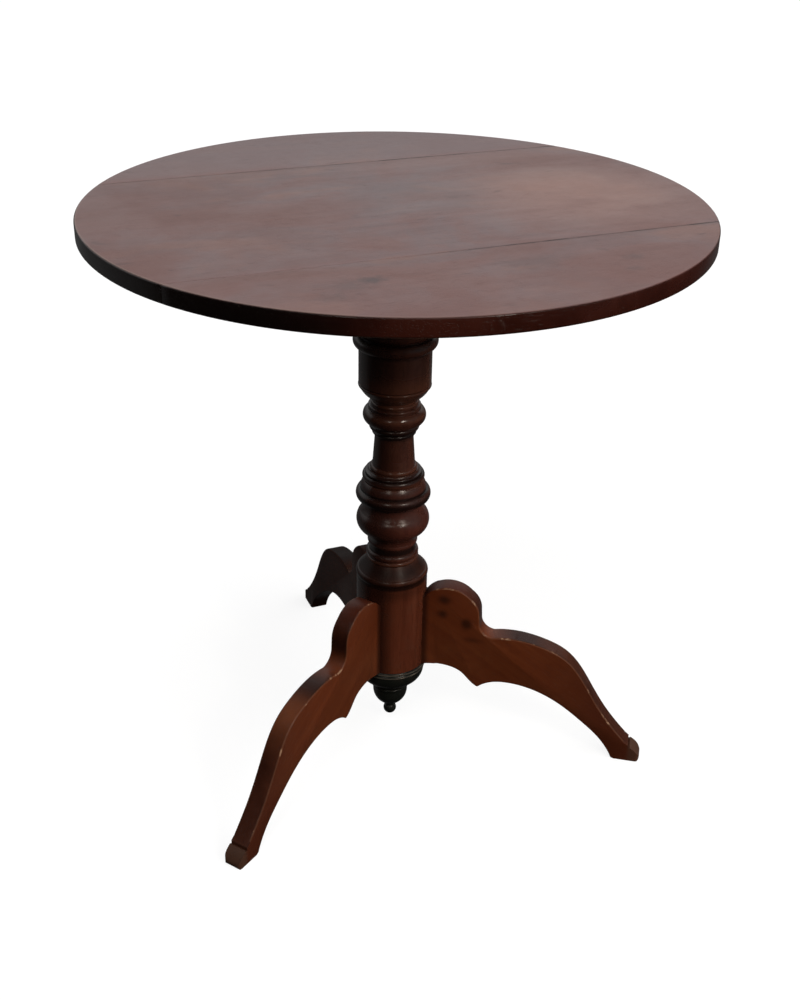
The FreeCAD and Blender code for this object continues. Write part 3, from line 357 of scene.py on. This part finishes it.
def column_wood():
    """Polished mahogany turning, darker with dirt and painted shade in every groove and under every bead,
    with painted shade on one side and painted highlights on its crests.
    """
    material, wash, shader = new_finish("column_polish")
    place = wash.add("TexCoord").outputs["Object"]
    z = wash.split(place)[2]
    grain = wash.shared(GRAIN, wash.place(place, turn=(0, 90, 0)))
    age = wash.shared(WEAR, place)
    foot, head = COLUMN_TINTS[0][0], COLUMN_TINTS[-1][0]
    height = wash.add("MapRange", {0: z, 1: foot, 2: head, 3: 0.0, 4: 1.0}).outputs[0]
    stops = [((level - foot) / (head - foot), tint) for level, tint in COLUMN_TINTS]
    colour = wash.ramp(height, *stops)
    light = wash.ramp(grain["Streaks"], (0.3, (0.72, 0.68, 0.66)), (0.5, (1.0, 1.0, 1.0)),
                      (0.72, (1.28, 1.32, 1.36)))
    colour = wash.mix(1.0, colour, light, "MULTIPLY")
    colour = wash.mix(wash.times(age["Rubbing"], 0.25), colour, (0.075, 0.030, 0.018))
    # Painted shade: the column's side facing away from the light is darkened in its colour, most strongly
    # low down.
    side_shade = wash.step(wash.measure("DOT_PRODUCT", place, SHADED_SIDE_DIRECTION), -0.006, 0.015)
    side_shade = wash.times(side_shade, wash.step(z, 0.48, 0.24, 0.35, 0.75))
    colour = wash.mix(side_shade, colour, (0.014, 0.0040, 0.0024))
    colour = wash.mix(wash.times(grain["Pores"], 0.3), colour, (0.012, 0.005, 0.003))
    grime_and_shade, polish = 0.0, 0.0
    # Dirt and painted shade: colour darkened in the grooves and under the beads, where shade falls.
    for level, reach, depth in GRIMY_SHADED_HOLLOWS:
        grime_and_shade = wash.sums("MAXIMUM", wash.times(wash.near(z, level, reach), depth), grime_and_shade)
    # Painted highlights: the crests where highlights fall, lightened in colour and made a little glossier.
    for level, reach in HIGHLIT_CRESTS:
        polish = wash.sums("MAXIMUM", wash.near(z, level, reach), polish)
    # Crests painted lighter: a painted highlight.
    colour = wash.mix(wash.times(polish, 0.35), colour, (0.110, 0.0380, 0.0200))
    # The hollows darkened: dirt and painted shade.
    colour = wash.mix(wash.sums("MINIMUM", grime_and_shade, 0.9), colour, (0.0050, 0.0020, 0.0014))
    wash.feed(shader.inputs["Base Color"], colour)
    sheen = wash.step(age["Clouds"], 0.3, 0.7, 0.22, 0.30)
    sheen = wash.sums("SUBTRACT", sheen, wash.times(polish, 0.08))
    from_shoulder = wash.sums("ABSOLUTE", wash.sums("SUBTRACT", z, CAP_SHOULDER))
    dull = wash.step(from_shoulder, 0.0085, 0.0060, 0.0, 0.07)
    wash.feed(shader.inputs["Roughness"], wash.sums("ADD", sheen, dull))
    shine = wash.step(z, CAP_TOP, CAP_TOP + 0.008, DRUM_SHINE, SHAFT_SHINE)
    shine = wash.sums("MULTIPLY_ADD", dull, -1.6, shine)
    wash.feed(shader.inputs["Specular IOR Level"], shine)
    uneven = wash.sums("SUBTRACT", age["Rubbing"], wash.times(grain["Pores"], 0.7))
    wash.feed(shader.inputs["Normal"], wash.bump(uneven, 0.00008))
    return material


def leg_face(wash, plank, grain, age, knots):
    """Colours of a leg's two broad faces: dark at the ear, darker towards the toe, with any knots."""
    out, _, up = wash.split(plank)
    colour = wash.ramp(grain["Streaks"], (0.25, (0.092, 0.0190, 0.0058)), (0.50, (0.118, 0.0265, 0.0080)),
                       (0.75, (0.148, 0.0380, 0.0120)))
    colour = wash.mix(wash.times(grain["Figure"], 0.20), colour, (0.076, 0.0150, 0.0046))
    colour = wash.mix(wash.step(age["Clouds"], 0.45, 0.75, 0.0, 0.55), colour, (0.155, 0.0450, 0.0150))
    colour = wash.mix(wash.step(age["Rubbing"], 0.2, 0.9, 0.0, 0.22), colour, (0.068, 0.0140, 0.0045))
    ear = wash.times(wash.step(out, 0.13, 0.05), wash.step(up, 0.16, 0.22, 0.15, 0.65))
    colour = wash.mix(ear, colour, (0.084, 0.0150, 0.0036))
    colour = wash.mix(wash.step(out, 0.15, 0.30, 0.0, 0.80), colour, (0.052, 0.0114, 0.0048))
    for knot_out, knot_up, size, stretch in knots:
        gap = wash.gap(out, up, (knot_out, knot_up), stretch)
        gap = wash.sums("MULTIPLY_ADD", age["Clouds"], 0.016, gap)
        ring = wash.step(gap, size + 0.0165, size + 0.0065, 0.0, 0.8)
        colour = wash.mix(ring, colour, (0.022, 0.0060, 0.0028))
    return colour


def leg_edge(wash, plank, clouds, knee):
    """Colours of a leg's sawn edges: mottled and dark, redder at the ear, painted lighter in the hollow as
    bounce light and at the bend as a highlight.
    """
    out, _, up = wash.split(plank)
    edge = wash.ramp(clouds, (0.40, (0.016, 0.0042, 0.0022)), (0.62, (0.060, 0.0150, 0.0062)))
    edge = wash.mix(wash.step(out, 0.12, 0.09, 0.0, 0.65), edge, (0.062, 0.0105, 0.0036))
    # Painted bounce light: the hollow of the edge lightened.
    hollow = wash.times(wash.near(out, LEG_HOLLOW, LEG_BEND_REACH), wash.step(up, 0.19, 0.16))
    edge = wash.mix(hollow, edge, (0.120, 0.0290, 0.0100))
    # Painted highlight: the bend of the edge lightened, by a share set for each leg.
    bend = wash.times(wash.near(out, LEG_KNEE, LEG_BEND_REACH), knee)
    return wash.mix(bend, edge, (0.210, 0.0560, 0.0170))


def leg_wood(name, turn, tone, gloss, knee, knots=(), wear_and_glint=0.0):
    """Mahogany of one leg, with the grain down the leg, a scuffed toe and, on its arris, pale wear and a
    painted highlight.
    """
    material, wash, shader = new_finish(name)
    coords = wash.add("TexCoord").outputs
    plank = wash.place(coords["Object"], turn=(0, 0, -turn))
    out = wash.split(plank)[0]
    grain = wash.shared(GRAIN, wash.place(plank, shift=(turn, 0, 0), turn=(0, -LEG_SLOPE, 0)))
    age = wash.shared(WEAR, plank)
    side = wash.sums("ABSOLUTE", wash.split(wash.place(coords["Normal"], turn=(0, 0, -turn)))[1])
    colour = leg_face(wash, plank, grain, age, knots)
    edge = leg_edge(wash, plank, age["Clouds"], knee)
    colour = wash.mix(wash.step(side, 0.85, 0.35, 0.0, 0.92), colour, edge)
    ragged = wash.sums("MULTIPLY_ADD", age["Clouds"], 0.012, out)
    toe = wash.step(ragged, TOE_SCUFF, TOE_SCUFF_FULL, 0.0, 0.6)
    colour = wash.mix(toe, colour, (0.070, 0.0380, 0.0240))
    seam = wash.step(out, LEG_SEAM_END, LEG_SEAM, 0.0, 0.75)
    colour = wash.mix(seam, colour, (0.014, 0.0040, 0.0020))
    colour = wash.mix(wash.times(grain["Pores"], 0.3), colour, (0.024, 0.0060, 0.0025))
    colour = wash.mix(1.0, colour, (tone, tone, tone), "MULTIPLY")
    # Pale arris lines: wear and a painted highlight.
    if wear_and_glint:
        rubbed = wash.step(age["Rubbing"], 0.25, 0.9, 0.07 * wear_and_glint, 0.9 * wear_and_glint)
        colour = wash.mix(rubbed, colour, (0.330, 0.190, 0.110))
    wash.feed(shader.inputs["Base Color"], colour)
    wash.feed(shader.inputs["Roughness"], wash.step(age["Clouds"], 0.3, 0.7, 0.28, 0.40))
    shader.inputs["Specular IOR Level"].default_value = gloss
    uneven = wash.sums("SUBTRACT", wash.times(grain["Streaks"], 0.4), grain["Pores"])
    wash.feed(shader.inputs["Normal"], wash.bump(uneven, 0.00012))
    return material


def ebonised_wood():
    """Blackened turning with a greenish cast, pale from wear on its two top beads."""
    material, wash, shader = new_finish("ebonised_polish")
    place = wash.add("TexCoord").outputs["Object"]
    z = wash.split(place)[2]
    grain = wash.shared(GRAIN, wash.place(place, turn=(0, 90, 0)))
    age = wash.shared(WEAR, place)
    colour = wash.ramp(age["Clouds"], (0.3, (0.0045, 0.0050, 0.0036)), (0.7, (0.0105, 0.0110, 0.0082)))
    crest = wash.sums("MAXIMUM", *[wash.near(z, level, reach) for level, reach in DROP_CRESTS])
    crest = wash.times(crest, wash.step(age["Rubbing"], 0.0, 0.6, 0.35, 0.9))
    colour = wash.mix(crest, colour, (0.200, 0.165, 0.125))
    colour = wash.mix(wash.times(age["Rubbing"], 0.12), colour, (0.060, 0.034, 0.022))
    wash.feed(shader.inputs["Base Color"], colour)
    wash.feed(shader.inputs["Roughness"], wash.step(age["Clouds"], 0.3, 0.7, 0.26, 0.40))
    uneven = wash.sums("SUBTRACT", age["Clouds"], grain["Pores"])
    wash.feed(shader.inputs["Normal"], wash.bump(uneven, 0.0001))
    return material


def under_wood(name, turn, shift):
    """Unpolished mahogany of the hidden battens and block, browned by age and handling."""
    material, wash, shader = new_finish(name)
    place = wash.add("TexCoord").outputs["Object"]
    grain = wash.shared(GRAIN, wash.place(place, shift=shift, turn=(0, 0, turn)))
    age = wash.shared(WEAR, place)
    colour = wash.ramp(grain["Streaks"], (0.3, (0.090, 0.042, 0.021)), (0.5, (0.150, 0.077, 0.040)),
                       (0.72, (0.215, 0.122, 0.068)))
    colour = wash.mix(wash.step(age["Clouds"], 0.45, 0.7, 0.0, 0.6), colour, (0.072, 0.036, 0.020))
    colour = wash.mix(wash.times(grain["Figure"], 0.2), colour, (0.100, 0.050, 0.026))
    colour = wash.mix(wash.times(grain["Pores"], 0.5), colour, (0.040, 0.018, 0.010))
    wash.feed(shader.inputs["Base Color"], colour)
    wash.feed(shader.inputs["Roughness"], wash.step(age["Rubbing"], 0.0, 1.0, 0.72, 0.55))
    uneven = wash.sums("SUBTRACT", wash.times(grain["Streaks"], 0.6), grain["Pores"])
    wash.feed(shader.inputs["Normal"], wash.bump(uneven, 0.0003))
    return material


def old_metal(name, clean, dull, rust):
    """Handled metal: bright where rubbed, dull between, with dark specks."""
    material, wash, shader = new_finish(name)
    place = wash.add("TexCoord").outputs["Object"]
    clouds, rubbing, specks = wash.shared(WEAR, wash.place(place, size=(3, 3, 3)))
    colour = wash.mix(wash.step(clouds, 0.38, 0.62), clean, dull)
    colour = wash.mix(wash.times(rubbing, 0.5), colour, clean)
    colour = wash.mix(wash.times(specks, 0.8), colour, rust)
    wash.feed(shader.inputs["Base Color"], colour)
    shader.inputs["Metallic"].default_value = 1
    wash.feed(shader.inputs["Roughness"], wash.step(clouds, 0.3, 0.7, 0.28, 0.52))
    wash.feed(shader.inputs["Normal"], wash.bump(wash.sums("SUBTRACT", rubbing, specks), 0.00005))
    return material


def take(piece):
    """Make this piece the only selected one."""
    bpy.ops.object.select_all(action="DESELECT")
    piece.select_set(True)
    bpy.context.view_layer.objects.active = piece


def at_rim(start, end):
    return min(start.xy.length, end.xy.length) > TOP_RADIUS - RIM_BAND


def above_foot(start, end):
    return all(LEG_EASED_FROM <= point.xy.length <= LEG_EASED_TO for point in (start, end))


def long_edge(start, end):
    return (end - start).length > LONG_EDGE


def eased(node, body, slot, arris, chosen, *finishes):
    """A planed piece with its chosen sharp edges rounded over. A second finish goes on those edges."""
    take(frame["nodes"][node])
    bpy.ops.object.duplicate()
    piece = bpy.context.active_object
    piece.name = node + "_eased"
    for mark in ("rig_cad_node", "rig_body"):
        del piece[mark]
    bpy.ops.object.parent_clear(type="CLEAR_KEEP_TRANSFORM")
    piece.data.materials.clear()
    for finish in finishes:
        piece.data.materials.append(finish)
    bpy.ops.mesh.customdata_custom_splitnormals_clear()
    bpy.ops.object.mode_set(mode="EDIT")
    bpy.ops.mesh.select_mode(type="EDGE")
    bpy.ops.mesh.select_all(action="SELECT")
    bpy.ops.mesh.remove_doubles(threshold=SAME_CORNER)
    bpy.ops.mesh.dissolve_limited(angle_limit=FLAT)
    bpy.ops.mesh.select_all(action="DESELECT")
    bpy.ops.mesh.edges_select_sharp(sharpness=SHARP)
    bpy.ops.object.mode_set(mode="OBJECT")
    for part in (*piece.data.vertices, *piece.data.polygons):
        part.select = False
    for edge in piece.data.edges:
        ends = [piece.data.vertices[end] for end in edge.vertices]
        edge.select = edge.select and chosen(*[end.co for end in ends])
    bpy.ops.object.mode_set(mode="EDIT")
    bpy.ops.mesh.bevel(offset=arris, segments=ARRIS_STEPS, clamp_overlap=False, material=len(finishes) - 1)
    bpy.ops.object.mode_set(mode="OBJECT")
    bpy.ops.object.shade_smooth_by_angle(angle=SHARP)
    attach(piece, body)
    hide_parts(node)
    return piece


def close_joint(piece, joint_y):
    """Draws a board's edge up to its neighbour, to leave a joint as tight as a glued one."""
    take(piece)
    for part in (*piece.data.edges, *piece.data.polygons):
        part.select = False
    gaps = [joint_y - corner.co.y for corner in piece.data.vertices]
    for corner, gap in zip(piece.data.vertices, gaps):
        corner.select = abs(gap) < JOINT_REACH
    slip = next(gap for gap in gaps if abs(gap) < JOINT_REACH) * JOINT_CLOSED_SHARE
    bpy.ops.object.mode_set(mode="EDIT")
    bpy.ops.mesh.select_mode(type="VERT")
    bpy.ops.transform.translate(value=(0, slip, 0))
    bpy.ops.object.mode_set(mode="OBJECT")


def paint(finish, *nodes):
    """Give a finish to pieces that show as they were made."""
    for node in nodes:
        for place in frame["nodes"][node].material_slots:
            place.material = finish


# The top, three boards with the grain set apart from board to board.
rear = eased("top_board_rear", "top", "top_wood", RIM_ARRIS, at_rim,
             top_wood("top_polish_rear", (0.9, 0.31, 0)))
middle = eased("top_board_middle", "top", "top_wood", RIM_ARRIS, at_rim,
               top_wood("top_polish_middle", (0.2, 0, 0)))
front = eased("top_board_front", "top", "top_wood", RIM_ARRIS, at_rim,
              top_wood("top_polish_front", (1.7, 0.73, 0), KNOCKS))
for joint_y, boards in ((REAR_JOINT_Y, (rear, middle)), (FRONT_JOINT_Y, (middle, front))):
    for board in boards:
        close_joint(board, joint_y)

# Under the top.
for side, shift in (("left", (0.4, 0, 0)), ("right", (1.3, 0.2, 0))):
    eased("bearer_" + side, "top", "under_wood", BEARER_ARRIS, long_edge,
          under_wood("bearer_wood_" + side, 90, shift))
eased("tilt_block", "pedestal", "under_wood", BLOCK_ARRIS, long_edge,
      under_wood("block_wood", 0, (2.1, 0.4, 0)))
paint(under_wood("wedge_wood", 0, (3.1, 0, 0)), "tenon_wedge")
paint(old_metal("aged_brass", (0.46, 0.33, 0.14), (0.20, 0.13, 0.055), (0.05, 0.035, 0.02)),
      "catch_plate", "catch_bolt", "catch_knob", "catch_keeper")
paint(old_metal("aged_steel", (0.30, 0.29, 0.28), (0.13, 0.12, 0.11), (0.10, 0.045, 0.02)),
      "bearer_screws", "catch_screws", "keeper_screws", "pivot_pins")

# The pillar, its drop and its legs.
paint(column_wood(), "column")
paint(ebonised_wood(), "pendant")
for leg, look in LEGS.items():
    eased(leg, "pedestal", "leg_wood", LEG_ARRIS, above_foot, leg_wood(leg + "_polish", **look),
          leg_wood(leg + "_arris", **look, wear_and_glint=ARRIS_WEAR_AND_GLINT[leg]))


def pale_floor():
    """White ground sheet, partly lit from behind, that throws no light back at the table."""
    bpy.ops.mesh.primitive_plane_add(size=FLOOR_SIZE)
    floor = bpy.context.active_object
    floor.name = "studio_floor"
    material, _, shader = new_finish("studio_floor")
    shader.inputs["Base Color"].default_value = (0.2, 0.2, 0.2, 1)
    shader.inputs["Roughness"].default_value = 0.9
    shader.inputs["Specular IOR Level"].default_value = 0
    shader.inputs["Emission Color"].default_value = (1, 1, 1, 1)
    shader.inputs["Emission Strength"].default_value = FLOOR_GLOW
    floor.data.materials.append(material)
    floor.visible_glossy = False
    floor.visible_diffuse = False


def studio_sky():
    """Soft light from high on the right of the camera, and a pale backdrop that only the polish mirrors."""
    world = bpy.data.worlds.new("studio_sky")
    bpy.context.scene.world = world
    world.use_nodes = True
    wash = Wash(world.node_tree)
    way = wash.add("TexCoord").outputs["Generated"]
    ray = wash.add("LightPath").outputs
    light = SHADOW_LIGHT
    for source, strength, focus in SOFT_LIGHT:
        towards = wash.sums("MAXIMUM", wash.measure("DOT_PRODUCT", way, source), 0.0)
        light = wash.sums("MULTIPLY_ADD", wash.sums("POWER", towards, focus), strength, light)
    _, y, z = wash.split(way)
    backdrop = wash.times(wash.step(y, 0.30, 0.50), wash.step(z, -0.1, 0.45, 0.08, 0.65))
    backdrop = wash.sums("ADD", backdrop, 0.01)
    seen = wash.mix(ray["Is Glossy Ray"], light, backdrop)
    seen = wash.mix(ray["Is Camera Ray"], seen, (1.0, 1.0, 1.0))
    wash.feed(world.node_tree.nodes["Background"].inputs["Color"], seen)


def window_light(name, place, width, height, power):
    light = bpy.data.lights.new(name, "AREA")
    light.shape = "RECTANGLE"
    light.size, light.size_y = width, height
    light.energy = power
    light.color = LAMP_COLOUR
    lamp = bpy.data.objects.new(name, light)
    bpy.context.scene.collection.objects.link(lamp)
    lamp.location = place
    lamp.rotation_euler = (Vector(LAMP_AIM) - Vector(place)).to_track_quat("-Z", "Y").to_euler()


def photo_camera():
    data = bpy.data.cameras.new("photo_camera")
    data.lens = CAMERA_LENS
    data.sensor_width = CAMERA_SENSOR
    camera = bpy.data.objects.new("photo_camera", data)
    bpy.context.scene.collection.objects.link(camera)
    camera.location = CAMERA_PLACE
    aim = Euler((math.radians(90 - CAMERA_PITCH), 0, math.radians(-CAMERA_HEADING))).to_quaternion()
    camera.rotation_mode = "QUATERNION"
    camera.rotation_quaternion = aim @ Quaternion((0, 0, 1), math.radians(CAMERA_ROLL))
    bpy.context.scene.camera = camera


pale_floor()
studio_sky()
window_light("left_window", (-1.70, -2.08, 2.14), 0.26, 0.40, 5)
window_light("right_window", (0.64, -2.61, 2.14), 0.30, 0.42, 18)
photo_camera()
bpy.context.scene.view_settings.view_transform = "Standard"
